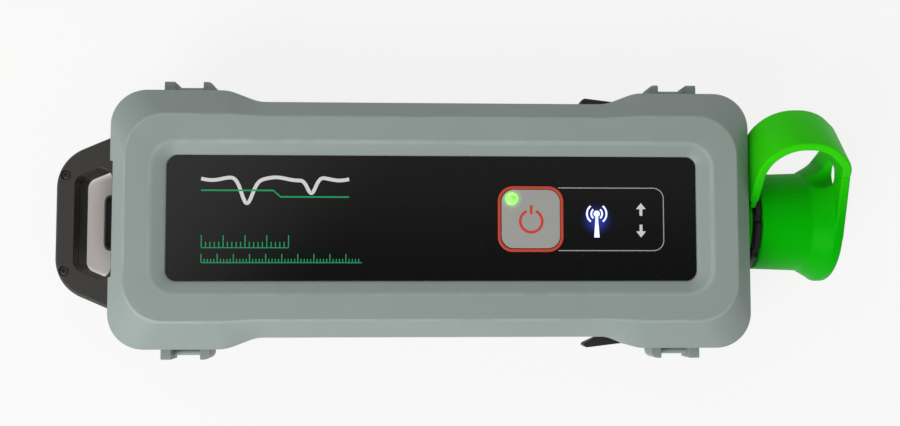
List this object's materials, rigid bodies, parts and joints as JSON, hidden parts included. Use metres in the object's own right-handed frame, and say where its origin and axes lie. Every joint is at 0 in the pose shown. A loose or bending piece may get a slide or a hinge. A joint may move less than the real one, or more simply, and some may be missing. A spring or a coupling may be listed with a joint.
{
  "type": "antenna analyzer",
  "caption": "Handheld antenna analyzer with a loop handle, sealed two-part case, one power key and a coaxial test port under a tethered rubber cap.",
  "frame": {"origin": "middle of the flat back of the case, on which it lies", "axes": "+X from the handle towards the test port, +Z out of the labelled front, +Y across the case"},
  "size_m": [0.2799, 0.0976, 0.0635],
  "materials": {
    "case_plastic": "satin fine-textured sage grey moulded plastic",
    "frame_plastic": "black moulded plastic",
    "handle_plastic": "dark grey moulded plastic",
    "label_film": "glossy black printed film",
    "key_plastic": "light grey moulded key",
    "key_bezel_plastic": "red-orange surround",
    "lamp_lens": "clear green lens",
    "light_pipe": "clear acrylic",
    "steel": "zinc-plated steel",
    "board": "green solder mask",
    "shield_tin": "tin-plated sheet",
    "switch_plastic": "black plastic",
    "battery_wrap": "blue shrink wrap",
    "tray_plastic": "black plastic",
    "port_metal": "white bronze plating",
    "port_insulation": "white fluoropolymer",
    "contact_plating": "silver plating",
    "black_rubber": "black moulded rubber",
    "green_rubber": "bright green moulded rubber, slightly glossy"
  },
  "bodies": {
    "housing": {"rear_case": "case_plastic", "front_cover": "case_plastic", "seal_frame": "frame_plastic", "strap_hooks": "frame_plastic", "case_screws": "steel", "strap_lug_bars": "case_plastic", "handle_lower_half": "handle_plastic", "handle_upper_half": "handle_plastic", "handle_screws": "steel", "front_label": "label_film", "key_bezel": "key_bezel_plastic", "tactile_switch": "switch_plastic", "wireless_light_pipe": "light_pipe", "transmit_light_pipe": "light_pipe", "receive_light_pipe": "light_pipe", "indicator_lamps": "port_insulation", "main_board": "board", "board_screws": "steel", "radio_shield": "shield_tin", "processor_shield": "shield_tin", "wireless_module": "shield_tin", "battery_tray": "tray_plastic", "battery_cells": "battery_wrap", "socket_board": "board", "data_socket": "shield_tin", "charging_socket": "switch_plastic", "test_port_body": "port_metal", "port_insulator": "port_insulation", "port_contact": "contact_plating", "port_gasket": "black_rubber", "port_nut": "frame_plastic", "radio_lead": "port_metal"},
    "power_key": {"power_button": "key_plastic", "power_lamp_lens": "lamp_lens", "switch_plunger": "switch_plastic"},
    "tether": {"cap_tether_ring": "green_rubber", "cap_strap": "green_rubber"},
    "cap": {"dust_cap": "green_rubber"},
    "plug": {"port_plug": "black_rubber"}
  },
  "joints": [
    {"name": "key_press", "type": "slide", "parent": "housing", "child": "power_key", "axis": [0, 0, -1], "range_m": [0, 0.0008], "stiffness_N_per_m": 1500, "springref_m": -0.0002},
    {"name": "cap_swivel", "type": "hinge", "parent": "housing", "child": "tether", "pos_m": [0.1142, 0.0005, 0.025], "axis": [1, 0, 0], "continuous": true},
    {"name": "cap_pull", "type": "slide", "parent": "tether", "child": "cap", "axis": [1, 0, 0], "range_m": [0, 0.022], "deforming": ["cap_strap"]},
    {"name": "plug_pull", "type": "slide", "parent": "housing", "child": "plug", "axis": [-1, 0, 0], "range_m": [0, 0.0065]}
  ]
}
